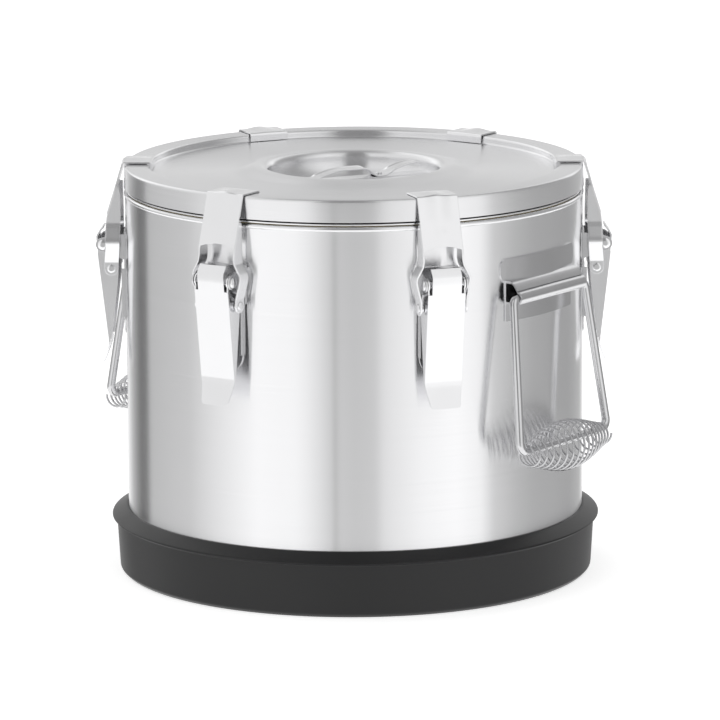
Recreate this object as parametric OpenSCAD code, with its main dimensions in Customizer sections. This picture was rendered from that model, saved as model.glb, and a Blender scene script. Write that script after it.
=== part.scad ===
// Insulated soup kettle: a double-walled steel drum with an insulated lid, six over-centre draw
// latches and two folding bail handles. Origin at the centre of the underside, +Z up, bails on +X and -X.

/* [Drum] */
// Outer radius of the drum wall
wall_r = 192.5; // [188:0.5:196]
// Height of the drum's mouth above the ground
mouth_z = 326; // [322:0.5:326]
// Inner radius of the food well
well_r = 160.5; // [150:0.5:162]
// Height of the food well's floor
well_floor_z = 56; // [50:1:90]

/* [Foot ring] */
// Height of the foot ring where it meets the wall
foot_h = 54.3; // [48:0.1:60]
// Largest radius of the foot ring, at its shoulder
foot_r = 206.5; // [203:0.5:210]

/* [Lid] */
// Height of the lid's raised rim
rim_z = 346; // [346:0.5:348]
// Height of the lid's panel
panel_z = 339.5; // [337:0.5:340]
// Radius of the recess opening
recess_r = 72; // [70:1:76]
// Height of the recess floor
recess_z = 318; // [315:1:322]

/* [Latches] */
// Directions of the six latches round the drum
latch_angles = [-86.7, -33.6, 38, 91.7, 151.6, 213];
// Width of a latch's lever
lever_w = 32.6; // [30:0.2:33]
// Width of a latch's hook
hook_w = 35; // [34:0.5:36]

/* [Bails] */
// Distance from a bail's pivot to its grip
bail_drop = 126; // [110:1:130]
// Distance between a bail's arms at the pivot
bail_top_w = 104; // [101:1:106]
// Distance between a bail's arms at the grip
bail_low_w = 128; // [125:1:131]
// Number of turns in a grip's coil
coil_turns = 16; // [13:1:18]

/* [Hidden] */
sheet_t = 1;
strap_t = 1.4;
gap = 0.4;
weld_gap = 0.03;
foot_floor_z = 8;
foot_lip_r = 176;
shell_top_z = mouth_z - 0.6;
well_corner_r = 20;
skirt_r = wall_r + 1;
skirt_z = mouth_z + 1.5;
plug_r = well_r - 2.5;
plug_z = mouth_z - 20;
flange_z = mouth_z + 5;
bead_r = 104;
crest_r = 78;
crest_z = panel_z + 4.5;
grip_dir = 61;
grip_w = 15;
grip_rivets = [-42.5, 23.3];
bridge_z = 331.5;
bridge_t = 1.5;

// Latch: x is the distance from the drum's axis, z is the height
pivot = [210.8, 277.5];
link = [203.6, 257.5];
toe = [169.7, 340.6];
toe_r = 0.7;
pin_r = 2.5;
pin_play = 0.05;
lever_in = lever_w / 2 + 0.5;
ear_out = lever_in + 1.5;
arm_in = ear_out + 0.7;
joggle_in = arm_in + 3.4;

// Bail: pivot and lean of its plane
bail_pivot = [198.5, 257.5];
bail_lean = 7;
rod_r = 3.5;
rod_step = 0.05;
rod_lap = 0.5;
channel_gap = 0.5;
channel_t = 1.7;
channel_w = 95;
coil_len = 114;
coil_sag = 3.6;
coil_end_r = 8.6;
coil_mid_r = 20;
wire_r = 0.95;

sides = [["right", 0], ["left", 180]];
latches = [for (i = [0:len(latch_angles) - 1]) i];

// Points on an arc about c
function arc(c, r, a0, a1, n = 6) = [for (i = [0:n]) let (a = a0 + (a1 - a0) * i / n) c + r * [cos(a), sin(a)]];
function unit(v) = v / norm(v);
function left_of(v) = [-v[1], v[0]];
function side_at(p, i) = let (
    before = left_of(unit(p[max(i, 1)] - p[max(i, 1) - 1])),
    after = left_of(unit(p[min(i + 1, len(p) - 1)] - p[min(i, len(p) - 2)])),
    both = before + after
) 2 * both / (both * both);
// Closed outline of a sheet that follows the line p, with its thickness on the line's left
function sheet(p, t) = concat(p, [for (i = [len(p) - 1:-1:0]) p[i] + t * side_at(p, i)]);

// Turns a flat outline in the radius-height plane into a slab of width w across the radius
module slab(w) { rotate([90, 0, 0]) linear_extrude(w, center = true) children(); }
// Round bar across the radius, between the widths y0 and y1, at the point p of the radius-height plane
module cross_bar(p, r, y0, y1) { translate([p[0], y0, p[1]]) rotate([-90, 0, 0]) cylinder(r = r, h = y1 - y0, $fn = 48); }
module both_sides() { for (s = [0, 1]) mirror([0, s, 0]) children(); }
module revolve() { rotate_extrude($fn = 180) children(); }

/* Drum */

// Black moulded ring that the drum stands on
module foot_ring() {
    color([0.07, 0.07, 0.08]) revolve() polygon([
        [foot_lip_r, 0], [foot_r - 9.5, 0], [foot_r - 6.5, 3], [foot_r - 4, foot_h - 9.5], [foot_r, foot_h - 8.1],
        [foot_r - 0.6, foot_h - 6.8], [wall_r + 2.2, foot_h - 0.4], [wall_r + 1.4, foot_h],
        [wall_r + weld_gap, foot_h], [wall_r + weld_gap, foot_floor_z], [foot_lip_r, foot_floor_z]
    ]);
}

module bottom_plate() {
    color([0.72, 0.72, 0.74]) translate([0, 0, foot_floor_z]) cylinder(r = wall_r - sheet_t, h = sheet_t, $fn = 180);
}

module outer_shell() {
    bead = arc([wall_r - 1.4, shell_top_z - 3], 2.2, -50, 90, 8);
    color([0.78, 0.78, 0.8]) revolve() polygon(concat(
        [[wall_r - sheet_t, foot_floor_z], [wall_r, foot_floor_z]], bead, [[wall_r - sheet_t - 0.4, shell_top_z - 0.8]],
        [[wall_r - sheet_t, shell_top_z - 6]]
    ));
}

module mouth_ring() {
    color([0.76, 0.76, 0.78]) revolve() polygon([
        [well_r + sheet_t, mouth_z - sheet_t], [wall_r - 1.6, mouth_z - sheet_t], [wall_r - 1.6, mouth_z - 1.4],
        [wall_r - 0.7, mouth_z - 1.4], [wall_r - 0.7, mouth_z], [well_r, mouth_z], [well_r, mouth_z - 6],
        [well_r + sheet_t, mouth_z - 6]
    ]);
}

function well_line(r, z, corner) = concat([[r, mouth_z - 6]], arc([r - corner, z + corner], corner, 0, -90, 8), [[0, z]]);

module inner_well() {
    color([0.8, 0.8, 0.82]) revolve() polygon(concat(
        well_line(well_r + sheet_t, well_floor_z - sheet_t, well_corner_r + sheet_t),
        [for (i = [9:-1:0]) well_line(well_r, well_floor_z, well_corner_r)[i]],
        [[well_r, mouth_z - 6]]
    ));
}

module foam_jacket() {
    color([0.86, 0.8, 0.6]) revolve() difference() {
        polygon([
            [0, foot_floor_z + sheet_t], [wall_r - sheet_t, foot_floor_z + sheet_t],
            [wall_r - sheet_t, shell_top_z - 8], [wall_r - 4, shell_top_z - 6], [wall_r - 4, mouth_z - sheet_t],
            [0, mouth_z - sheet_t]
        ]);
        polygon(concat(
            [[well_r + sheet_t, mouth_z]],
            well_line(well_r + sheet_t, well_floor_z - sheet_t, well_corner_r + sheet_t), [[0, mouth_z]]
        ));
    }
}

/* Latches */

module at_latch(i) { rotate(latch_angles[i]) children(); }

// Ring of the given thickness against the wall
module wall_skin(t, z0, z1) {
    translate([0, 0, z0]) difference() {
        cylinder(r = wall_r + t, h = z1 - z0, $fn = 180);
        translate([0, 0, -1]) cylinder(r = wall_r + weld_gap, h = z1 - z0 + 2, $fn = 180);
    }
}

// Plate welded to the wall, with a rounded lower end, raised edges and two ears for the lever's rivet
module latch_plate(i) {
    plate_top = 289;
    plate_low = 199;
    plate_w = 31;
    lip_t = 1.8;
    color([0.8, 0.8, 0.82]) at_latch(i) {
        intersection() {
            wall_skin(strap_t, plate_low, plate_top);
            translate([0, 0, plate_low]) union() {
                translate([wall_r - 5, 0, plate_w / 2]) rotate([0, 90, 0]) cylinder(r = plate_w / 2, h = 10, $fn = 64);
                translate([wall_r - 5, -plate_w / 2, plate_w / 2]) cube([10, plate_w, 60]);
                translate([wall_r - 5, -ear_out, 58]) cube([10, 2 * ear_out, 32]);
            }
        }
        both_sides() difference() {
            translate([0, ear_out, 0]) intersection() {
                translate([0, -(ear_out - lever_in) / 2, 0]) slab(ear_out - lever_in) union() {
                    translate(pivot) circle(r = 6, $fn = 48);
                    polygon([
                        [wall_r - 3, plate_top - 2.5], [wall_r + 8, plate_top - 2.5], [pivot[0] + 1.5, pivot[1] + 5.8],
                        [pivot[0] - 0.5, pivot[1] - 5.9], [wall_r + 5, pivot[1] - 11], [wall_r - 3, pivot[1] - 14]
                    ]);
                }
                translate([0, -20, 0]) cube([240, 40, 400]);
            }
            translate([0, 0, plate_low]) cylinder(r = wall_r + strap_t, h = 100, $fn = 180);
            cross_bar(pivot, pin_r, 0, ear_out + 2);
        }
        both_sides() translate([0, plate_w / 2 - lip_t, 0]) difference() {
            translate([wall_r - 3, 0, plate_low + plate_w / 2]) cube([3 + strap_t + lip_t, lip_t, 42]);
            translate([0, -(plate_w / 2 - lip_t), plate_low]) cylinder(r = wall_r + strap_t, h = 100, $fn = 180);
        }
    }
}

// Rivet that the lever turns on, with a domed head at each end
module lever_rivet(i) {
    color([0.85, 0.85, 0.86]) at_latch(i) {
        cross_bar(pivot, pin_r, -ear_out, ear_out);
        both_sides() translate([pivot[0], ear_out, pivot[1]]) rotate([-90, 0, 0]) rotate_extrude($fn = 48)
            polygon([[0, 0], [4.6, 0], [4.4, 0.7], [3.2, 1.3], [1.6, 1.6], [0, 1.6]]);
    }
}

// Line of the lever's outer face, from the sloping top down to the kicked tip
lever_line = [
    [211.4, 291.3], [212.6, 290.8], [216.2, 285.4], [216.9, 283.6], [216.4, pivot[1] - 1],
    [207.2, 197], [207.2, 191.5], [209.4, 184], [213.3, 174.2]
];

// Folded channel: outer face, two flanges with round ears, slots beside the tongue, and a tapered tip
module latch_lever(i) {
    slot_z = 270;
    tongue = 12.8;
    flange = [
        [215.3, slot_z + 0.5], [207, 197], [204.6, 196], [202.8, 212], [199, 243], [198.2, 252], [198.4, 260],
        [200.6, 266.5], [pivot[0] - 6, pivot[1] - 2], [pivot[0], pivot[1] + 3], [pivot[0] + 4, pivot[1] - 2]
    ];
    color([0.86, 0.86, 0.87]) at_latch(i) difference() {
        union() {
            intersection() {
                slab(lever_w) polygon(sheet(lever_line, -strap_t));
                translate([190, 0, 0]) rotate([90, 0, 90]) linear_extrude(40) polygon(concat(
                    [[-tongue, 294], [tongue, 294], [tongue, slot_z], [lever_w / 2, slot_z], [lever_w / 2, 195]],
                    arc([9.4, 178.6], 4, 10, -75, 5), arc([-9.4, 178.6], 4, -105, -190, 5),
                    [[-lever_w / 2, 195], [-lever_w / 2, slot_z], [-tongue, slot_z]]
                ));
            }
            both_sides() translate([0, lever_w / 2 - strap_t / 2, 0]) slab(strap_t) union() {
                polygon(flange);
                translate(pivot) circle(r = 5.6, $fn = 64);
            }
        }
        cross_bar(pivot, pin_r + pin_play, -20, 20);
    }
}

// Line of the hook's sheet, from the toe behind the lid's rim, over the rim and down its front
hook_line = concat(
    [[toe[0] - toe_r, toe[1]]], arc([toe[0] - toe_r + 1.5, 346.3], 1.5, 180, 90, 3),
    arc([193.1, 346.3], 1.5, 90, 20, 3), [[207.6, 303.6]]
);

// Claw hook: a sheet over the rim with a rolled toe, two cheeks and two arms that bulge past the lever's
// rivet and end in round eyes
module latch_hook(i) {
    arm_t = 1.5;
    arm_mid = arm_in + arm_t / 2;
    cheek = hook_w / 2 - arm_t / 2;
    bulge = joggle_in + arm_t / 2;
    path = [[cheek, 330], [cheek, 291.5], [bulge, 282.5], [bulge, 278.5], [arm_mid, 264], [arm_mid, 248]];
    side = [
        [196.4, 326.5], [200, 326], [207.8, 301], [208.4, 291], [208.2, 276], [209.4, 264], [209.2, 255.5], [198, 255.5],
        [197.4, 264], [196.4, 276], [195.8, 300]
    ];
    color([0.84, 0.84, 0.86]) at_latch(i) difference() {
        union() {
            difference() {
                slab(hook_w) polygon(sheet(hook_line, -2 * toe_r));
                translate([190, 0, 267.4]) rotate([0, 90, 0]) cylinder(r = 40.3, h = 40, $fn = 96);
            }
            cross_bar(toe, toe_r, -hook_w / 2, hook_w / 2);
            both_sides() intersection() {
                slab(80) union() {
                    polygon(side);
                    translate(link) circle(r = 6, $fn = 48);
                }
                translate([190, 0, 0]) rotate([90, 0, 90]) linear_extrude(40) translate([arm_t / 2, 0])
                    polygon(sheet(path, -arm_t));
            }
        }
        both_sides() cross_bar(link, pin_r, 10, 40);
    }
}

// Short rivets at the ends of the hook's arms
module hook_rivets(i) {
    tip = lever_w / 2 + gap;
    color([0.85, 0.85, 0.86]) at_latch(i) both_sides() {
        cross_bar(link, pin_r, tip, arm_in + 1.5);
        cross_bar(link, 3.6, tip, arm_in);
        translate([link[0], arm_in + 1.5, link[1]]) rotate([-90, 0, 0]) rotate_extrude($fn = 48)
            polygon([[0, 0], [3.8, 0], [3.4, 0.7], [1.8, 1.1], [0, 1.1]]);
    }
}

/* Bail handles */

// Plate against the wall with a hood that rolls out and down over the bail's pivot bar
module handle_bracket(turn) {
    low = 237;
    top = 289;
    half_w = 53;
    plate_low = 271;
    corner = 6;
    inner = rod_r + channel_gap;
    outer = inner + channel_t;
    hood_foot = [wall_r, plate_low];
    color([0.76, 0.76, 0.78]) rotate(turn) {
        intersection() {
            wall_skin(strap_t, low, top);
            translate([150, 0, 0]) rotate([90, 0, 90]) linear_extrude(60) union() {
                hull() for (y = [-1, 1]) for (z = [plate_low + corner, top - corner])
                    translate([y * (half_w - corner), z]) circle(r = corner, $fn = 48);
                translate([-channel_w / 2, low]) square([channel_w, 40]);
            }
        }
        difference() {
            slab(channel_w) difference() {
                union() {
                    translate(bail_pivot) circle(r = outer, $fn = 64);
                    polygon([
                        hood_foot, [wall_r + 4, plate_low - 2.2], [wall_r + 7.4, bail_pivot[1] + outer + 0.5],
                        bail_pivot + outer * [sin(4), cos(4)], bail_pivot - [0, outer], [wall_r - 5, bail_pivot[1] - outer],
                        [wall_r - 5, plate_low]
                    ]);
                }
                translate(bail_pivot) circle(r = inner, $fn = 64);
                polygon([
                    [wall_r - 6, plate_low - 2], [wall_r + 1.5, plate_low - 2], [wall_r + 3.6, plate_low - 4.1],
                    [wall_r + 7, bail_pivot[1] + inner + 0.4], bail_pivot + inner * [sin(4), cos(4)],
                    bail_pivot - [0, inner], [wall_r - 6, bail_pivot[1] - inner]
                ]);
            }
            cylinder(r = wall_r + strap_t, h = 300, $fn = 180);
        }
    }
}

module at_bail(turn) {
    rotate(turn) translate([bail_pivot[0], 0, bail_pivot[1]]) rotate([0, -bail_lean, 0]) children();
}

// Round rod from p to q in the bail's own plane, y across and z down from the pivot. It laps into the
// bends at its ends and is a hair thinner than they are
module rod(p, q) {
    d = q - p;
    translate([0, p[0], p[1]]) rotate([-atan2(d[0], d[1]), 0, 0]) translate([0, 0, -rod_lap])
        cylinder(r = rod_r - rod_step, h = norm(d) + 2 * rod_lap, $fn = 64);
}

// Round bend about c in the bail's own plane
module rod_bend(c, r, a0, sweep) {
    translate([0, c[0], c[1]]) rotate([90, 0, 90]) rotate(a0)
        rotate_extrude(angle = sweep, $fn = 96) translate([r, 0]) circle(r = rod_r, $fn = 64);
}

// Closed rod loop: pivot bar, two arms that spread downwards and the bar through the grip
module bail_rod(turn) {
    slope = atan((bail_low_w - bail_top_w) / 2 / bail_drop);
    top_r = 6.5;
    low_r = 8;
    top_y = bail_top_w / 2 - top_r * tan((90 - slope) / 2);
    low_y = bail_low_w / 2 - low_r * tan((90 + slope) / 2);
    top_c = [top_y, -top_r];
    low_c = [low_y, low_r - bail_drop];
    out = [cos(slope), sin(slope)];
    color([0.8, 0.8, 0.82]) at_bail(turn) union() {
        rod([-top_y, 0], [top_y, 0]);
        rod([-low_y, -bail_drop], [low_y, -bail_drop]);
        both_sides() {
            rod(low_c + low_r * out, top_c + top_r * out);
            rod_bend(top_c, top_r, slope, 90 - slope);
            rod_bend(low_c, low_r, -90, 90 + slope);
        }
    }
}

function coil_at(u) = let (
    r = coil_end_r + (coil_mid_r - coil_end_r) * pow(sin(180 * u), 1.4),
    a = 360 * coil_turns * u
) [r * cos(a), coil_len * (u - 0.5), r * sin(a)];

// Lemon-shaped coil spring that hangs loosely on the bail's lower bar
module bail_grip(turn) {
    rings = coil_turns * 14;
    facets = 6;
    points = [for (i = [0:rings]) let (
        c = coil_at(i / rings),
        ahead = coil_at(min(i + 0.5, rings) / rings) - coil_at(max(i - 0.5, 0) / rings),
        along = ahead / norm(ahead),
        out = [c[0], 0, c[2]] / norm([c[0], 0, c[2]]),
        up = cross(along, out)
    ) for (k = [0:facets - 1]) c + wire_r * (cos(360 * k / facets) * cross(up, along) + sin(360 * k / facets) * up)];
    faces = [for (i = [0:rings - 1]) for (k = [0:facets - 1])
        [i * facets + k, i * facets + (k + 1) % facets, (i + 1) * facets + (k + 1) % facets, (i + 1) * facets + k]];
    ends = [[for (k = [facets - 1:-1:0]) k], [for (k = [0:facets - 1]) rings * facets + k]];
    color([0.8, 0.8, 0.82]) at_bail(turn) translate([0, 0, -bail_drop - coil_sag]) polyhedron(points, concat(faces, ends));
}

/* Lid */

cover_line = concat(
    [[skirt_r, skirt_z]],
    arc([skirt_r - 2.5, rim_z - 2.5], 2.5, 0, 90),
    arc([174.5, rim_z - 2.5], 2.5, 90, 180),
    arc([170, panel_z + 2], 2, 0, -90, 4),
    [for (i = [0:8]) [bead_r - (bead_r - crest_r) * i / 8, panel_z + (crest_z - panel_z) * (1 - cos(22.5 * i)) / 2]],
    [for (i = [1:4]) [crest_r - (crest_r - recess_r) * sin(22.5 * i), crest_z - 6 * (1 - cos(22.5 * i))]],
    [for (i = [1:8]) [recess_r - 22 * (1 - cos(11.25 * i)), crest_z - 6 - (crest_z - 6 - recess_z) * sin(11.25 * i)]],
    [[0, recess_z]]
);
cover_inner = [for (i = [0:len(cover_line) - 1]) cover_line[i] + sheet_t * side_at(cover_line, i)];
pan_line = concat(
    [[skirt_r - sheet_t, flange_z]], arc([plug_r + 4, flange_z - 4], 4, 90, 180, 4),
    arc([plug_r - 10, plug_z + 10], 10, 0, -90), [[0, plug_z]]
);

module lid_cover() { color([0.8, 0.8, 0.82]) revolve() polygon(sheet(cover_line, sheet_t)); }

module lid_pan() { color([0.76, 0.76, 0.78]) revolve() polygon(sheet(pan_line, -sheet_t)); }

module lid_foam() {
    inner_pan = [for (i = [0:len(pan_line) - 1]) pan_line[i] - sheet_t * side_at(pan_line, i)];
    color([0.86, 0.8, 0.6]) revolve() polygon(concat(
        [inner_pan[0]], [for (i = [1:len(cover_inner) - 1]) cover_inner[i]],
        [for (i = [len(inner_pan) - 1:-1:1]) inner_pan[i]]
    ));
}

module lid_gasket() {
    color([0.12, 0.12, 0.13]) revolve() polygon([
        [166, flange_z], [166, mouth_z + 2], [169, mouth_z + 0.3], [186, mouth_z + 0.3], [189.5, mouth_z + 2],
        [189.5, flange_z]
    ]);
}

module at_grip() { rotate(grip_dir) children(); }

// Flat bar across the recess, its ends bent up against the recess wall
module lid_bridge() {
    color([0.76, 0.76, 0.78]) at_grip() difference() {
        intersection() {
            translate([-recess_r, -grip_w / 2, bridge_z]) cube([2 * recess_r, grip_w, bridge_t]);
            translate([0, 0, bridge_z - 1]) cylinder(r = 69.4, h = 4, $fn = 96);
        }
        for (x = grip_rivets) translate([x, 0, bridge_z - 1]) cylinder(r = 2.02, h = 4, $fn = 64);
    }
}

// Waved strap that the lid is lifted by
grip_line = concat(
    [[-47, 0], [-38, 0]],
    [for (i = [1:8]) [-38 + 30 * i / 8, 6.3 * sin(90 * i / 8)]],
    [for (i = [0:6]) [5.3 + 15 * i / 6, 3.15 * (1 + cos(30 * i))]],
    [for (i = [0:7]) [26.8 + 30.2 * i / 7, 8.2 * sin(90 * i / 7)]],
    arc([57.3, 6.7], 1.5, 80, -30, 4)
);
module lid_grip() {
    color([0.84, 0.84, 0.86]) at_grip() translate([0, 0, bridge_z + bridge_t]) difference() {
        slab(grip_w) polygon(sheet(grip_line, strap_t));
        for (x = grip_rivets) translate([x, 0, -1]) cylinder(r = 2.02, h = 4, $fn = 64);
    }
}

module lid_grip_rivets() {
    color([0.7, 0.7, 0.72]) at_grip() for (x = grip_rivets) translate([x, 0, bridge_z - 1.5]) {
        cylinder(r = 2, h = 5.2, $fn = 64);
        cylinder(r = 2.8, h = 1.5, $fn = 64);
        translate([0, 0, 1.5 + bridge_t + strap_t]) cylinder(r = 2.8, h = 1.2, $fn = 64);
    }
}

foot_ring();
bottom_plate();
outer_shell();
mouth_ring();
inner_well();
foam_jacket();
for (i = latches) {
    latch_plate(i);
    lever_rivet(i);
    latch_lever(i);
    latch_hook(i);
    hook_rivets(i);
}
for (s = sides) {
    handle_bracket(s[1]);
    bail_rod(s[1]);
    bail_grip(s[1]);
}
lid_cover();
lid_pan();
lid_foam();
lid_gasket();
lid_bridge();
lid_grip();
lid_grip_rivets();
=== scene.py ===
import math

import bmesh
import bpy
from mathutils import Matrix, Vector


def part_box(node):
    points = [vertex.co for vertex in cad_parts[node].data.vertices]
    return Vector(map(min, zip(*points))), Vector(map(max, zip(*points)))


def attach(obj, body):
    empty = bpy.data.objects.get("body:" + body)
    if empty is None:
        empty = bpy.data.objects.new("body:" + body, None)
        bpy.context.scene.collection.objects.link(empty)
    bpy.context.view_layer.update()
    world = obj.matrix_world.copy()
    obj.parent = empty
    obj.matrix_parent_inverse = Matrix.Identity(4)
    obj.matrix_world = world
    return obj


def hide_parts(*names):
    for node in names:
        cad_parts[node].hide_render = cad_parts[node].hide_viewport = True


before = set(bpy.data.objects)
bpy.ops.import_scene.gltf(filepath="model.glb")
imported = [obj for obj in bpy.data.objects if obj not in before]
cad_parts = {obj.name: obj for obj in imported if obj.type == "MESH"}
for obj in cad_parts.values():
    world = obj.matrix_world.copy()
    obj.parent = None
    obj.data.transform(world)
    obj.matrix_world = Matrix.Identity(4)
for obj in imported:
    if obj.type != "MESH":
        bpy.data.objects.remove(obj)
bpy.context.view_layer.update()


# The camera: a long lens from a little above the lid, turned 36 degrees to the right of the front, so that
# the right bail shows. It has the slight yaw and roll of a tripod that is levelled by hand.
CAMERA_TURN = 36
lens_distance = 4.8965
lens_height = 1.1493
lens_pitch = 0.19621
lens_yaw = 0.000925
lens_roll = -0.00483
lens_mm = 294.9

turn = math.radians(CAMERA_TURN)
lens = bpy.data.cameras.new("camera")
lens.lens = lens_mm
lens.sensor_width = 36
camera = bpy.data.objects.new("camera", lens)
bpy.context.collection.objects.link(camera)
camera.matrix_world = (
    Matrix.Translation((lens_distance * math.sin(turn), -lens_distance * math.cos(turn), lens_height))
    @ Matrix.Rotation(turn - lens_yaw, 4, "Z")
    @ Matrix.Rotation(math.pi / 2 - lens_pitch, 4, "X")
    @ Matrix.Rotation(lens_roll, 4, "Z")
)
bpy.context.scene.camera = camera


class Shade:
    """One output of a shader tree. Arithmetic on it adds Math nodes, and node() adds any other node."""

    def __init__(self, tree, socket=None):
        self.tree = tree
        self.socket = socket

    def node(self, kind, settings=None, inputs=None, output=0):
        made = self.tree.nodes.new(kind)
        for name, value in (settings or {}).items():
            if name == "stops":
                self.fill_ramp(made.color_ramp, value)
            else:
                setattr(made, name, value)
        for name, value in (inputs or {}).items():
            if isinstance(value, Shade):
                self.tree.links.new(value.socket, made.inputs[name])
            else:
                made.inputs[name].default_value = value
        return Shade(self.tree, made.outputs[output])

    def fill_ramp(self, ramp, stops):
        while len(ramp.elements) < len(stops):
            ramp.elements.new(0.5)
        for element, (place, tone) in zip(ramp.elements, stops):
            element.position = place
            element.color = (tone, tone, tone, 1)

    def calc(self, operation, first, second=0.0):
        return self.node("ShaderNodeMath", {"operation": operation}, {0: first, 1: second})

    def __add__(self, other):
        return self.calc("ADD", self, other)

    __radd__ = __add__

    def __sub__(self, other):
        return self.calc("SUBTRACT", self, other)

    def __mul__(self, other):
        return self.calc("MULTIPLY", self, other)

    __rmul__ = __mul__

    def xyz(self):
        return [self.node("ShaderNodeSeparateXYZ", None, {0: self}, axis) for axis in "XYZ"]

    def vector(self, x, y, z):
        return self.node("ShaderNodeCombineXYZ", None, {0: x, 1: y, 2: z})

    def noise(self, vector, scale=1.0, detail=2.0):
        return self.node("ShaderNodeTexNoise", None, {"Vector": vector, "Scale": scale, "Detail": detail})


# The studio: a plain pale sweep under a ring of soft boxes. STUDIO gives the light's brightness just below
# the horizon by its direction round the object, in degrees to the right of the camera, and OVERHEAD the same
# above it. White paper fills the low directions and a dim ceiling the high ones.
STUDIO = [
    (-180, 1.00), (-166, 0.95), (-150, 0.42), (-138, 0.12), (-130, 0.15), (-126, 0.48), (-92, 0.52),
    (-70, 0.82), (-50, 1.10), (-30, 1.04), (-17, 0.78), (-11.5, 0.60), (-10, 0.30), (-8, 0.56),
    (0, 0.50), (10, 0.54), (14, 0.72), (34, 1.00), (52, 1.12), (66, 1.00), (74, 0.58), (88, 0.42),
    (102, 0.34), (138, 0.36), (160, 0.52), (172, 0.95), (180, 1.00),
]
OVERHEAD = [
    (-180, 0.74), (-170, 0.62), (-158, 0.90), (-142, 1.25), (-120, 0.90), (-84, 0.86), (-56, 0.86),
    (-24, 0.90), (-16, 0.28), (8, 0.28), (18, 0.86), (44, 0.98), (66, 0.80), (90, 0.38), (130, 0.38),
    (142, 1.15), (158, 0.88), (170, 0.62), (180, 0.74),
]
paper_light = 1.2
ceiling_light = 0.38
sweep_size = 6

world = bpy.data.worlds.new("studio")
world.use_nodes = True
bpy.context.scene.world = world
air = Shade(world.node_tree)
direction = air.node("ShaderNodeTexCoord", output="Generated")
facing = air.node("ShaderNodeVectorRotate", {"rotation_type": "Z_AXIS"},
                  {"Vector": direction, "Angle": -turn})
side, ahead, rise = facing.xyz()
azimuth = air.calc("ARCTAN2", side, ahead * -1) * (0.5 / math.pi) + 0.5
around = [air.node("ShaderNodeValToRGB", {"stops": [(a / 360 + 0.5, v) for a, v in stops]}, {0: azimuth})
          for stops in (STUDIO, OVERHEAD)]


def blended(first, second, low, high):
    """Goes from one light to another as the direction rises between two heights."""
    share = air.node("ShaderNodeMapRange", {"interpolation_type": "SMOOTHSTEP"},
                     {"Value": rise, 1: low, 2: high})
    ends = [v if isinstance(v, Shade) else (v, v, v, 1) for v in (first, second)]
    return air.node("ShaderNodeMix", {"data_type": "RGBA"}, {0: share, 6: ends[0], 7: ends[1]}, 2)


low_light = blended(paper_light, around[0], -0.4, -0.27)
lit = blended(blended(low_light, around[1], -0.02, 0.12), ceiling_light, 0.82, 0.97)
seen = air.node("ShaderNodeLightPath", output="Is Camera Ray")
shown = air.node("ShaderNodeMix", {"data_type": "RGBA"}, {0: seen, 6: lit, 7: (1, 1, 1, 1)}, 2)
backdrop = world.node_tree.nodes["Background"]
world.node_tree.links.new(shown.socket, backdrop.inputs["Color"])
bpy.context.scene.view_settings.view_transform = "Standard"

grid = bmesh.new()
bmesh.ops.create_grid(grid, x_segments=1, y_segments=1, size=sweep_size)
sweep_mesh = bpy.data.meshes.new("sweep")
grid.to_mesh(sweep_mesh)
grid.free()
sweep = bpy.data.objects.new("sweep", sweep_mesh)
bpy.context.collection.objects.link(sweep)
paper = bpy.data.materials.new("white_sweep")
paper.use_nodes = True
white = paper.node_tree.nodes["Principled BSDF"].inputs
white["Base Color"].default_value = (0.9, 0.9, 0.9, 1)
white["Roughness"].default_value = 0.9
white["Specular IOR Level"].default_value = 0
white["Emission Color"].default_value = (1, 1, 1, 1)
white["Emission Strength"].default_value = 0.62
sweep_mesh.materials.append(paper)
sweep.visible_glossy = False


# The foot ring: one black moulding that the drum is pressed into. It has a sloping shoulder under the wall,
# a short undercut below it and a side that draws in towards the ground.
MM = 0.001
TURN_STEPS = 240
drum_low, drum_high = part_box("outer_shell")
wall_r = 192.5
foot_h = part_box("foot_ring")[1][2] / MM
foot_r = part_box("foot_ring")[1][0] / MM
foot_floor = drum_low[2] / MM


def arc(centre, radius, start, stop, steps=6):
    """Points on an arc in the plane of radius and height, in millimetres and degrees."""
    angles = [math.radians(start + (stop - start) * i / steps) for i in range(steps + 1)]
    return [(centre[0] + radius * math.cos(a), centre[1] + radius * math.sin(a)) for a in angles]


def rounded(points, radius, steps=4):
    """The closed outline with every corner cut to an arc-like curve of about that radius."""
    result = []
    count = len(points)
    for i in range(count):
        corner = Vector(points[i])
        back = Vector(points[i - 1]) - corner
        on = Vector(points[(i + 1) % count]) - corner
        reach = min(radius, 0.45 * back.length, 0.45 * on.length)
        first = corner + back.normalized() * reach
        last = corner + on.normalized() * reach
        for k in range(steps + 1):
            t = k / steps
            result.append(tuple(first * (1 - t) ** 2 + corner * 2 * t * (1 - t) + last * t ** 2))
    return result


def turned(outline):
    """Spins a closed outline of (radius, height) points in millimetres about the drum's axis."""
    bm = bmesh.new()
    ring = [bm.verts.new((r * MM, 0, z * MM)) for r, z in outline]
    edges = [bm.edges.new(pair) for pair in zip(ring, ring[1:] + ring[:1])]
    bmesh.ops.spin(bm, geom=ring + edges, cent=(0, 0, 0), axis=(0, 0, 1), angle=math.tau, steps=TURN_STEPS,
                   use_merge=True)
    bmesh.ops.remove_doubles(bm, verts=bm.verts, dist=1e-6)
    bmesh.ops.recalc_face_normals(bm, faces=bm.faces)
    return bm


def piece(name, bm, material, body, stands_for, crease=40):
    """Makes a finished piece of a bmesh: its material, its body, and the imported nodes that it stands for."""
    mesh = bpy.data.meshes.new(name)
    bm.to_mesh(mesh)
    bm.free()
    mesh.materials.append(material)
    mesh.polygons.foreach_set("use_smooth", [True] * len(mesh.polygons))
    mesh.set_sharp_from_angle(angle=math.radians(crease))
    made = bpy.data.objects.new(name, mesh)
    bpy.context.collection.objects.link(made)
    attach(made, body)
    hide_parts(*stands_for)
    return made


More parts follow.
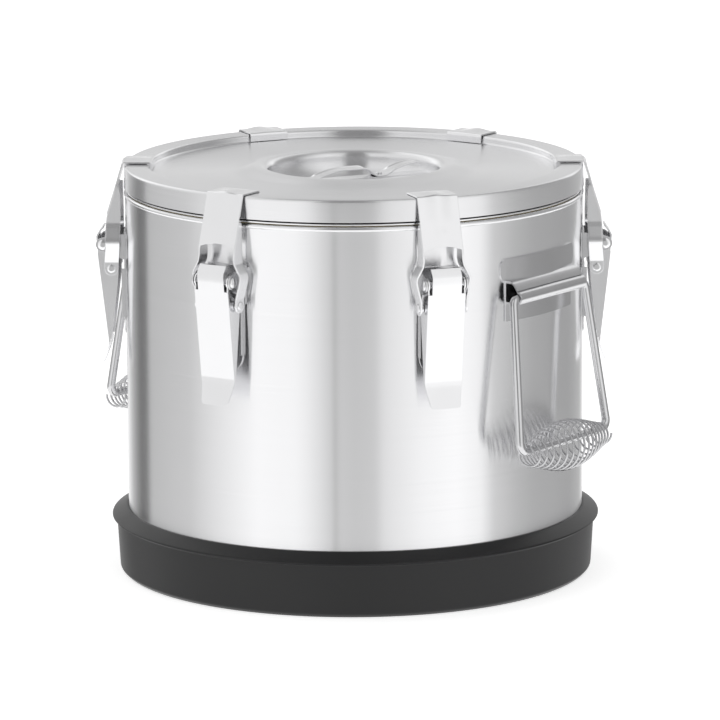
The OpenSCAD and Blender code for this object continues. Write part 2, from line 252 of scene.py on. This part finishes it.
def finish(name, metallic, **plain):
    """A new material, with the sockets of its shader that are the same all over already set."""
    material = bpy.data.materials.new(name)
    material.use_nodes = True
    shader = material.node_tree.nodes["Principled BSDF"]
    shader.inputs["Metallic"].default_value = metallic
    for socket, value in plain.items():
        shader.inputs[socket.replace("_", " ")].default_value = value
    return material, Shade(material.node_tree), shader.inputs


def join(start, value, socket):
    start.tree.links.new(value.socket, socket)


def tinted(start, mix, dark, light):
    """A colour between two greys or colours."""
    return start.node("ShaderNodeMix", {"data_type": "RGBA"}, {0: mix, 6: (*dark, 1), 7: (*light, 1)}, 2)


def bumped(start, height, depth):
    """A normal with that height, depth metres deep."""
    return start.node("ShaderNodeBump", None, {"Strength": 1.0, "Distance": depth, "Height": height})


black_moulding, start, sockets = finish("black_moulding", 0, Specular_IOR_Level=0.36)
spot = start.node("ShaderNodeTexCoord", output="Object")
pebble = start.noise(spot, 900, 3)
cloud = start.noise(spot, 14, 3)
join(start, tinted(start, cloud, (0.007, 0.007, 0.0075), (0.013, 0.013, 0.0135)), sockets["Base Color"])
join(start, 0.3 + 0.12 * cloud + 0.06 * pebble, sockets["Roughness"])
join(start, bumped(start, pebble, 0.00005), sockets["Normal"])

shoulder_slope = [(foot_r, foot_h - 8.1), (foot_r - 0.6, foot_h - 6.8), (wall_r + 2.2, foot_h - 0.4)]
foot_outline = rounded(
    [(176, 0), (foot_r - 9.5, 0), (foot_r - 6.5, 3), (foot_r - 4, foot_h - 9.5)] + shoulder_slope
    + [(wall_r + 1.4, foot_h), (wall_r + 0.05, foot_h), (wall_r + 0.05, foot_floor), (176, foot_floor)], 1.2)
piece("foot_ring_moulding", turned(foot_outline), black_moulding, "kettle", ["foot_ring"])


# The drum: a brushed outer wall with a rolled bead under its mouth, the mouth ring that joins it to the
# deep-drawn inner well, and the plate that closes it below. The grain runs round the drum.
shell_top = drum_high[2] / MM
mouth_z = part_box("mouth_ring")[1][2] / MM
well_r = 160.5
sheet_mm = 1.0


def steel(name, dark, light, roughness, grain, depth):
    """Brushed steel with its grain round the drum's axis, on walls and flat faces alike. The grain blurs
    reflections across itself far more than along itself."""
    material, start, sockets = finish(name, 1, Anisotropic=1.0, Anisotropic_Rotation=0.25)
    x, y, z = start.node("ShaderNodeTexCoord", output="Object").xyz()
    radius = start.calc("SQRT", x * x + y * y)
    across = radius + z
    fine = start.noise(start.vector(x * 7, y * 7, across * grain), 1, 1)
    streak = start.noise(start.vector(x * 3 + 3, y * 3, across * (grain * 0.3)), 1, 2)
    smudge = start.noise(start.vector(x * 12, y * 12, z * 9), 1, 3)
    join(start, tinted(start, 0.6 * fine + 0.4 * streak, dark, light), sockets["Base Color"])
    join(start, roughness + 0.03 * (fine - 0.5) + 0.04 * (smudge - 0.5), sockets["Roughness"])
    join(start, bumped(start, fine + 0.4 * streak, depth), sockets["Normal"])
    along = start.node("ShaderNodeTangent", {"direction_type": "RADIAL", "axis": "Z"})
    join(start, along, sockets["Tangent"])
    return material


wall_steel = steel("brushed_wall_steel", (0.84, 0.84, 0.85), (0.91, 0.91, 0.92), 0.19, 4200, 0.000003)
inner_steel = steel("drawn_well_steel", (0.74, 0.74, 0.75), (0.86, 0.86, 0.87), 0.34, 2600, 0.000006)

bead = arc((wall_r - 1.4, shell_top - 3), 2.2, -50, 90, 12)
shell_outline = (
    [(wall_r - sheet_mm, foot_floor), (wall_r, foot_floor), (wall_r, foot_h - 4), (wall_r, foot_h + 6),
     (wall_r, shell_top - 12), (wall_r, shell_top - 6)] + bead
    + [(wall_r - sheet_mm - 0.4, shell_top - 0.8), (wall_r - sheet_mm, shell_top - 6)])
piece("drum_wall", turned(shell_outline), wall_steel, "kettle", ["outer_shell"])

mouth_outline = rounded([
    (well_r + sheet_mm, mouth_z - sheet_mm), (wall_r - 1.6, mouth_z - sheet_mm),
    (wall_r - 1.6, mouth_z - 1.4), (wall_r - 0.7, mouth_z - 1.4), (wall_r - 0.7, mouth_z), (well_r, mouth_z),
    (well_r, mouth_z - 6), (well_r + sheet_mm, mouth_z - 6)], 0.4)
piece("mouth_flange", turned(mouth_outline), wall_steel, "kettle", ["mouth_ring"])

well_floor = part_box("inner_well")[0][2] / MM
well_outline = (
    [(well_r, mouth_z - 6)] + [(well_r + sheet_mm, mouth_z - 6)]
    + arc((well_r - 20, well_floor + 21), 21, 0, -90, 12) + [(0, well_floor), (0, well_floor + sheet_mm)]
    + arc((well_r - 20, well_floor + 21), 20, -90, 0, 12))
piece("food_well", turned(well_outline), inner_steel, "kettle", ["inner_well"])

plate_top = foot_floor + sheet_mm
plate_outline = rounded([
    (0, foot_floor), (wall_r - sheet_mm, foot_floor), (wall_r - sheet_mm, plate_top), (0, plate_top)], 0.3)
plate_outline = [(max(r, 0), z) for r, z in plate_outline]
piece("base_plate", turned(plate_outline), inner_steel, "kettle", ["bottom_plate"])


# The insulation: rigid foam poured between the two walls and inside the lid. It is sealed in, so it shows
# only in a cut-away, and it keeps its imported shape.
foam, start, sockets = finish("rigid_foam", 0, Roughness=0.9)
cells = start.noise(start.node("ShaderNodeTexCoord", output="Object"), 600, 4)
join(start, tinted(start, cells, (0.70, 0.60, 0.34), (0.86, 0.78, 0.52)), sockets["Base Color"])
join(start, bumped(start, cells, 0.0006), sockets["Normal"])
for name in ("foam_jacket", "lid_foam"):
    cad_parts[name].data.materials.clear()
    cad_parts[name].data.materials.append(foam)


# The lid: a pressed cover with a flat raised rim, a lower panel, a broad bead and a dished recess, closed
# underneath by a pan. Its brushing runs in circles, like a spun disc's.
rim_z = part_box("lid_cover")[1][2] / MM
skirt_r = wall_r + 1
skirt_z = mouth_z + 1.5
panel_z = 339.5
bead_r = 104
crest_r = 78
crest_z = panel_z + 4.5
recess_r = 72
recess_z = 318
flange_z = mouth_z + 5
plug_r = well_r - 2.5
plug_z = mouth_z - 20


def sheet(line, thickness):
    """Closed outline of a sheet that follows a line, with its thickness on the line's left."""
    points = [Vector(p) for p in line]
    sides = []
    for i in range(len(points)):
        before = (points[max(i, 1)] - points[max(i, 1) - 1]).normalized()
        after = (points[min(i + 1, len(points) - 1)] - points[min(i, len(points) - 2)]).normalized()
        both = Vector((-before.y - after.y, before.x + after.x))
        sides.append(both * 2 / both.length_squared)
    back = [tuple(p + thickness * s) for p, s in zip(points, sides)]
    return list(line) + back[::-1]


def wave(i, steps):
    return (1 - math.cos(math.pi * i / steps)) / 2


cover_line = (
    [(skirt_r, skirt_z), (skirt_r - 0.1, skirt_z + 4), (skirt_r - 0.5, rim_z - 5)]
    + arc((skirt_r - 3.1, rim_z - 2.5), 2.5, 0, 90, 8) + [(186, rim_z), (180, rim_z)]
    + arc((174.5, rim_z - 2.5), 2.5, 90, 180, 8) + arc((170, panel_z + 2), 2, 0, -90, 6)
    + [(165, panel_z), (140, panel_z), (112, panel_z)]
    + [(bead_r - (bead_r - crest_r) * i / 20, panel_z + (crest_z - panel_z) * wave(i, 20)) for i in range(21)]
    + [(crest_r - (crest_r - recess_r) * math.sin(math.radians(9 * i)),
        crest_z - 6 * (1 - math.cos(math.radians(9 * i)))) for i in range(1, 11)]
    + [(recess_r - 22 * (1 - math.cos(math.radians(4.5 * i))),
        crest_z - 6 - (crest_z - 6 - recess_z) * math.sin(math.radians(4.5 * i))) for i in range(1, 21)]
    + [(30, recess_z), (0, recess_z)])
lid_steel = steel("brushed_lid_steel", (0.80, 0.80, 0.81), (0.90, 0.90, 0.91), 0.24, 3600, 0.000005)
piece("lid_top", turned(sheet(cover_line, sheet_mm)), lid_steel, "lid", ["lid_cover"])

pan_line = (
    [(skirt_r - sheet_mm, flange_z)] + arc((plug_r + 4, flange_z - 4), 4, 90, 180, 6)
    + arc((plug_r - 10, plug_z + 10), 10, 0, -90, 8) + [(0, plug_z)])
piece("lid_underside", turned(sheet(pan_line, -sheet_mm)), inner_steel, "lid", ["lid_pan"])


# The lid gasket: a dark silicone ring stuck under the lid's flange. Its lip lies on the mouth ring, and a
# thin line of it shows under the skirt.
silicone, start, sockets = finish("dark_silicone", 0, Roughness=0.55)
dust = start.noise(start.node("ShaderNodeTexCoord", output="Object"), 220, 4)
join(start, tinted(start, dust, (0.030, 0.030, 0.032), (0.055, 0.055, 0.058)), sockets["Base Color"])
join(start, 0.5 + 0.15 * dust, sockets["Roughness"])
gasket_outline = rounded([
    (166, flange_z), (166, mouth_z + 2), (169, mouth_z + 0.3), (186, mouth_z + 0.3), (189.5, mouth_z + 2),
    (189.5, flange_z)], 0.7)
piece("lid_seal", turned(gasket_outline), silicone, "lid", ["lid_gasket"])


# The lift grip in the recess: a waved strap with rolled edges, riveted to a flat bar that bridges the recess.
def softened(node, radius, segments=2):
    """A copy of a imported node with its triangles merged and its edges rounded."""
    bm = bmesh.new()
    bm.from_mesh(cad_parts[node].data)
    bmesh.ops.remove_doubles(bm, verts=bm.verts, dist=4e-6)
    bmesh.ops.dissolve_limit(bm, angle_limit=math.radians(1.5), verts=bm.verts, edges=bm.edges)
    sharp = [e for e in bm.edges if len(e.link_faces) == 2 and e.calc_face_angle() > math.radians(32)]
    bmesh.ops.bevel(bm, geom=sharp, offset=radius * MM, offset_type="OFFSET", segments=segments, profile=0.5,
                    affect="EDGES", clamp_overlap=True, material=-1)
    return bm


def weighted(made):
    """Lets the large faces of a piece set the shading of its rounded edges."""
    made.modifiers.new("shading", "WEIGHTED_NORMAL").weight = 100


def satin(name, dark, light, roughness, depth):
    """Satin steel for folded and bent parts, with a fine grain that runs up and down."""
    material, start, sockets = finish(name, 1)
    x, y, z = start.node("ShaderNodeTexCoord", output="Object").xyz()
    grain = start.noise(start.vector(x * 2600, y * 2600, z * 60), 1, 1)
    smudge = start.noise(start.vector(x * 40, y * 40, z * 25), 1, 3)
    join(start, tinted(start, 0.5 * grain + 0.5 * smudge, dark, light), sockets["Base Color"])
    join(start, roughness + 0.07 * (smudge - 0.5) + 0.04 * (grain - 0.5), sockets["Roughness"])
    join(start, bumped(start, grain, depth), sockets["Normal"])
    return material


def smooth_step(value, low, high):
    t = min(max((value - low) / (high - low), 0), 1)
    return t * t * (3 - 2 * t)


def even(line, step):
    """The line with points added so that none are further apart than the step."""
    result = [line[0]]
    for p, q in zip(line, line[1:]):
        gap = (Vector(q) - Vector(p)).length
        count = max(1, math.ceil(gap / step))
        result += [tuple(Vector(p).lerp(Vector(q), k / count)) for k in range(1, count + 1)]
    return result


def shell(bm, front, back):
    """Adds a closed thin body between two grids of points of the same size."""
    rows, columns = len(front), len(front[0])
    grids = [[[bm.verts.new(Vector(p) * MM) for p in row] for row in side] for side in (front, back)]
    for grid, flip in zip(grids, (False, True)):
        for i in range(rows - 1):
            for j in range(columns - 1):
                quad = [grid[i][j], grid[i][j + 1], grid[i + 1][j + 1], grid[i + 1][j]]
                bm.faces.new(quad[::-1] if flip else quad)
    rim = ([(0, j) for j in range(columns)] + [(i, columns - 1) for i in range(1, rows)]
           + [(rows - 1, j) for j in range(columns - 2, -1, -1)] + [(i, 0) for i in range(rows - 2, 0, -1)])
    for (i, j), (k, m) in zip(rim, rim[1:] + rim[:1]):
        bm.faces.new([grids[0][k][m], grids[0][i][j], grids[1][i][j], grids[1][k][m]])


def rounded_edges(bm, radius, segments=2, angle=45):
    sharp = [e for e in bm.edges if len(e.link_faces) == 2 and e.calc_face_angle() > math.radians(angle)]
    bmesh.ops.bevel(bm, geom=sharp, offset=radius * MM, offset_type="OFFSET", segments=segments, profile=0.5,
                    affect="EDGES", clamp_overlap=True, material=-1)


strap_steel = satin("satin_strap_steel", (0.84, 0.84, 0.85), (0.95, 0.95, 0.96), 0.2, 0.000008)
wire_steel = satin("bright_wire_steel", (0.80, 0.80, 0.81), (0.93, 0.93, 0.94), 0.14, 0.000005)
grip_turn = 61
grip_z = 333
strap_t = 1.4
swell = [(-47, 0), (-38, 0)] + [(-38 + 2 * i, 6.3 * math.sin(math.radians(6 * i))) for i in range(1, 16)]
dip = [(5.3 + 1.5 * i, 6.3 * (1 - wave(i, 10))) for i in range(11)]
crest = [(26.8 + 2 * i, 8.2 * math.sin(math.radians(6 * i))) for i in range(16)]
grip_line = even(swell + dip + crest + arc((57.3, 6.7), 1.5, 80, -30, 5), 1.5)
top, under = [], []
grip_end = len(grip_line) - 1
for i, point in enumerate(grip_line):
    ahead = (Vector(grip_line[min(i + 1, grip_end)]) - Vector(grip_line[max(i - 1, 0)])).normalized()
    out = Vector((-ahead.y, ahead.x))
    lip = 0.9 * smooth_step(point[0], -37, -32) * (1 - smooth_step(point[0], 10, 17))
    lip += 0.9 * smooth_step(point[0], 30, 36) * (1 - smooth_step(point[0], 55, 58))
    rows = [], []
    for j in range(25):
        across = 7.5 * (j / 12 - 1)
        place = Vector(point) + out * lip * smooth_step(abs(across), 4.2, 6.4)
        rows[0].append((place.x + strap_t * out.x, across, grip_z + place.y + strap_t * out.y))
        rows[1].append((place.x, across, grip_z + place.y))
    top.append(rows[0])
    under.append(rows[1])
strap = bmesh.new()
shell(strap, top, under)
bmesh.ops.rotate(strap, verts=strap.verts, matrix=Matrix.Rotation(math.radians(grip_turn), 3, "Z"))
bmesh.ops.recalc_face_normals(strap, faces=strap.faces)
rounded_edges(strap, 0.5, 3)
weighted(piece("lid_grip_strap", strap, strap_steel, "lid", ["lid_grip"]))
weighted(piece("lid_bridge_bar", softened("lid_bridge", 0.3), strap_steel, "lid", ["lid_bridge"]))
weighted(piece("lid_grip_rivet_heads", softened("lid_grip_rivets", 0.3), wire_steel, "lid",
               ["lid_grip_rivets"]))


# The six latches: on each, a plate welded to the wall, a folded lever on its rivet, and a claw hook. The
# hook's sheet is folded over the rim and stiffened by a pressed rib, and its two arms bulge past the rivet.
latch_angles = (-86.7, -33.6, 38, 91.7, 151.6, 213)
hook_half = 17.5
hook_t = 1.4
toe = (169.7, 340.6)
link = (203.6, 257.5)
arm_in = 19
bulge_in = 22.4


def hook_sheet():
    """Front and back grids of the hook's folded sheet, as (across, radius, height) rows of points."""
    fold = (arc((toe[0] + 1.8, 345.3), 2.5, 180, 90, 5) + arc((192.1, 345.3), 2.5, 90, 17.3, 6))
    line = even([(toe[0] - 0.7, toe[1] - 0.6)] + fold + [(207.6, 303.6)], 1.2)
    travel = [0]
    for p, q in zip(line, line[1:]):
        travel.append(travel[-1] + (Vector(q) - Vector(p)).length)
    columns = [hook_half * (2 * j / 34 - 1) for j in range(35)]
    front, back = [], []
    for i, point in enumerate(line):
        ahead = (Vector(line[min(i + 1, len(line) - 1)]) - Vector(line[max(i - 1, 0)])).normalized()
        out = Vector((-ahead.y, ahead.x))
        rise = smooth_step(travel[i], 5, 20) * (1 - 0.4 * smooth_step(travel[i], 30, 40))
        rise *= 1 - smooth_step(travel[i], 46, 60)
        dimple = math.exp(-((travel[i] - 62) / 3.5) ** 2)
        rows = [], []
        for t in columns:
            rib = 1.3 * rise * (1 - smooth_step(abs(t), 0, 13)) + 0.4 * dimple * math.exp(-(t / 4) ** 2)
            arch = max(0, math.sqrt(40.3 ** 2 - t * t) - math.sqrt(40.3 ** 2 - hook_half ** 2))
            lift = arch * smooth_step(travel[i], travel[-1] - 22, travel[-1])
            place = Vector(point) + out * rib + Vector((-0.31 * lift, lift))
            rows[0].append((t, *place))
            rows[1].append((t, *(place - out * hook_t)))
        front.append(rows[0])
        back.append(rows[1])
    return front, back


def hook_arm(side):
    """Front and back grids of one of the hook's arms."""
    path = even([(16.2, 327), (16.2, 296), (17, 291.5), (bulge_in - 0.7, 283.2), (bulge_in, 280.5),
                 (bulge_in - 0.4, 277.4), (arm_in + 0.6, 266), (arm_in, 263), (arm_in, 251.7)], 1.3)
    edges = [(327, 196.6, 200), (318, 196.2, 202.4), (301, 195.8, 207.6), (291, 196, 208.4),
             (276, 196.4, 208.2), (264, 197.4, 209.4), (257.5, 197.6, 209.6)]
    grids = [], []
    for i, (t, z) in enumerate(path):
        low = Vector(path[min(i + 1, len(path) - 1)])
        high = Vector(path[max(i - 1, 0)])
        along = (low - high).normalized()
        out = Vector((-along.y, along.x))
        if z < link[1]:
            half = math.sqrt(max(36 - (z - link[1]) ** 2, 1.5))
            near, far = link[0] - half, link[0] + half
        else:
            k = next(k for k in range(len(edges) - 1) if z >= edges[k + 1][0])
            share = min(1, (edges[k][0] - z) / (edges[k][0] - edges[k + 1][0]))
            near, far = [edges[k][m] + share * (edges[k + 1][m] - edges[k][m]) for m in (1, 2)]
        radii = [near + (far - near) * c / 8 for c in range(9)]
        grids[0].append([(side * (t + 1.5 * out.x), r, z + 1.5 * out.y) for r in radii])
        grids[1].append([(side * t, r, z) for r in radii])
    return grids


def latch_place(i):
    """From across, radius and height to the place of a latch on the drum."""
    a = math.radians(latch_angles[i - 1])
    return Matrix(((-math.sin(a), math.cos(a), 0), (math.cos(a), math.sin(a), 0), (0, 0, 1))).to_4x4()


# Painted shade: the latch plates' steel is darker than the other satin steel, so that it stands in for the
# shadow that falls beside and under the lever.
shaded_plate_steel = satin("latch_base_steel_painted_shade", (0.62, 0.62, 0.63), (0.76, 0.76, 0.77), 0.24, 0.000008)
for i in range(1, 7):
    weighted(piece(f"latch_base_{i}", softened(f"latch_plate_{i}", 0.25), shaded_plate_steel, "kettle",
                   [f"latch_plate_{i}"]))
    weighted(piece(f"lever_pin_{i}", softened(f"lever_rivet_{i}", 0.25), wire_steel, "kettle",
                   [f"lever_rivet_{i}"]))
    weighted(piece(f"lever_{i}_channel", softened(f"latch_lever_{i}", 0.5, 3), strap_steel, f"lever_{i}",
                   [f"latch_lever_{i}"]))
    claw = bmesh.new()
    shell(claw, *hook_sheet())
    for side in (1, -1):
        shell(claw, *hook_arm(side))
    bmesh.ops.transform(claw, matrix=latch_place(i), verts=claw.verts)
    bmesh.ops.recalc_face_normals(claw, faces=claw.faces)
    rounded_edges(claw, 0.35)
    weighted(piece(f"hook_{i}_claw", claw, strap_steel, f"hook_{i}", [f"latch_hook_{i}"]))
    weighted(piece(f"hook_{i}_rivet_heads", softened(f"hook_rivets_{i}", 0.25), wire_steel, f"hook_{i}",
                   [f"hook_rivets_{i}"]))


# The bail handles: a bracket with a rolled channel on the wall, a bent rod that swings in it, and a
# lemon-shaped coil spring that hangs on the rod as the grip.
BAILS = {"right": 0, "left": 180}
bail_pivot = (198.5, 257.5)
bail_lean = math.radians(7)
bail_drop = 126
coil_turns = 16
coil_len = 114
coil_sag = 3.6
coil_end_r = 8.6
coil_mid_r = 20
wire_r = 0.95


def wire(points, radius, closed=False):
    """A round wire along points in metres, as a bmesh."""
    curve = bpy.data.curves.new("wire", "CURVE")
    curve.dimensions = "3D"
    curve.bevel_depth = radius * MM
    curve.bevel_resolution = 3
    curve.use_fill_caps = not closed
    line = curve.splines.new("POLY")
    line.points.add(len(points) - 1)
    line.use_cyclic_u = closed
    for point, place in zip(line.points, points):
        point.co = (*place, 1)
    holder = bpy.data.objects.new("wire", curve)
    bpy.context.collection.objects.link(holder)
    shape = bpy.data.meshes.new_from_object(holder.evaluated_get(bpy.context.evaluated_depsgraph_get()))
    bm = bmesh.new()
    bm.from_mesh(shape)
    bmesh.ops.remove_doubles(bm, verts=bm.verts, dist=1e-6)
    bmesh.ops.recalc_face_normals(bm, faces=bm.faces)
    bpy.data.objects.remove(holder)
    bpy.data.curves.remove(curve)
    bpy.data.meshes.remove(shape)
    return bm


def bail_place(azimuth):
    """From a bail's own plane, hung from its pivot, to its place on the drum."""
    return (Matrix.Rotation(math.radians(azimuth), 4, "Z")
            @ Matrix.Translation((bail_pivot[0] * MM, 0, bail_pivot[1] * MM))
            @ Matrix.Rotation(-bail_lean, 4, "Y"))


def coil_point(u):
    radius = coil_end_r + (coil_mid_r - coil_end_r) * math.sin(math.pi * u) ** 1.4
    angle = math.tau * coil_turns * u
    across, up = radius * math.cos(angle), radius * math.sin(angle)
    return Vector((across, coil_len * (u - 0.5), up - bail_drop - coil_sag)) * MM


bracket_steel = satin("bracket_steel", (0.66, 0.66, 0.67), (0.78, 0.78, 0.79), 0.24, 0.000008)
# Painted shade: the bail rods' steel is darker than the bright wire steel, so that it stands in for the grey
# shading along the rods.
shaded_rod_steel = satin("drawn_rod_steel_painted_shade", (0.62, 0.62, 0.63), (0.78, 0.78, 0.79), 0.16, 0.000005)
# Painted shade: the coil's wire steel is darker still, so that it stands in for the shading inside the coil
# and at its sides.
shaded_coil_steel = satin("coil_wire_steel_painted_shade", (0.50, 0.50, 0.51), (0.66, 0.66, 0.67), 0.16, 0.000005)
coil_steps = coil_turns * 32
for name, azimuth in BAILS.items():
    weighted(piece(f"bracket_{name}", softened(f"handle_bracket_{name}", 0.3), bracket_steel, "kettle",
                   [f"handle_bracket_{name}"]))
    weighted(piece(f"bail_{name}_rod", softened(f"bail_rod_{name}", 0.2), shaded_rod_steel, f"bail_{name}",
                   [f"bail_rod_{name}"]))
    place = bail_place(azimuth)
    turns = [place @ coil_point(i / coil_steps) for i in range(coil_steps + 1)]
    piece(f"bail_{name}_coil", wire(turns, wire_r), shaded_coil_steel, f"bail_{name}", [f"bail_grip_{name}"])
